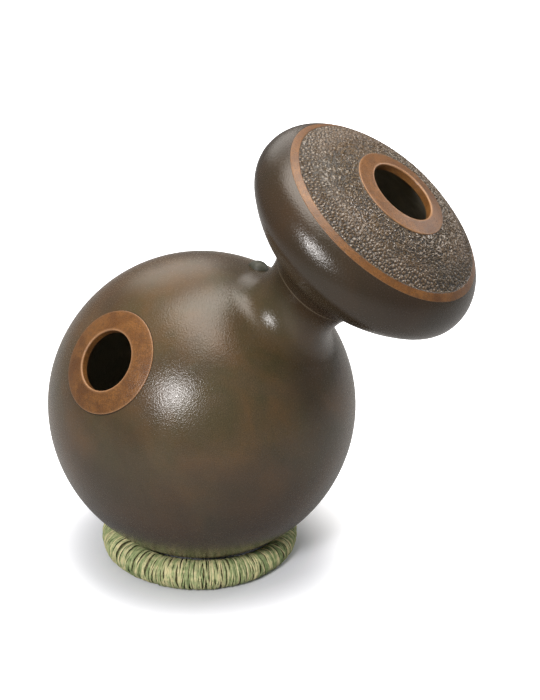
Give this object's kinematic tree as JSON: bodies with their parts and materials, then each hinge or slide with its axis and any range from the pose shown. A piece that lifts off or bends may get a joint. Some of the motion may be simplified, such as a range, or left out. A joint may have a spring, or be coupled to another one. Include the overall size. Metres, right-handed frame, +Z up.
{
  "type": "udu drum",
  "caption": "Clay pot drum: a round globe with a side hole, a leaning neck and a broad head with a hole in its textured face, seated in a grass-wound ring.",
  "frame": {"origin": "middle of the ring, on the surface that it stands on", "axes": "+Z up, +X the way that the neck leans, so the neck's axis lies in the XZ plane"},
  "size_m": [0.3728, 0.27, 0.4057],
  "materials": {
    "burnished_clay": "smoke-fired and burnished to a satin shine",
    "pebbled_clay": "impressed all over with small pebbles, burnished",
    "bare_clay": "smooth unsmoked terracotta, matt",
    "stopper_rubber": "matt",
    "grass_core": "packed dry grass",
    "grass_wrap": "dry split grass"
  },
  "bodies": {
    "ring": {"ring_core": "grass_core", "ring_wrap_1": "grass_wrap", "ring_wrap_2": "grass_wrap", "ring_wrap_3": "grass_wrap", "ring_wrap_4": "grass_wrap", "ring_wrap_5": "grass_wrap"},
    "drum": {"globe_lower_bowl": "burnished_clay", "globe_upper_bowl": "burnished_clay", "neck": "burnished_clay", "head_bowl": "burnished_clay", "face_band": "bare_clay", "face_dome": "pebbled_clay", "face_hole_collar": "bare_clay", "side_hole_collar": "bare_clay"},
    "stopper": {"stopper": "stopper_rubber"}
  },
  "joints": [
    {"name": "drum_tilt", "type": "hinge", "parent": "ring", "child": "drum", "pos_m": [0, 0, 0.14055], "axis": [0, 1, 0], "range_deg": [-38.2, 30]},
    {"name": "stopper_pull", "type": "slide", "parent": "drum", "child": "stopper", "axis": [0.2217, 0.2868, 0.932], "range_m": [0, 0.016]}
  ]
}
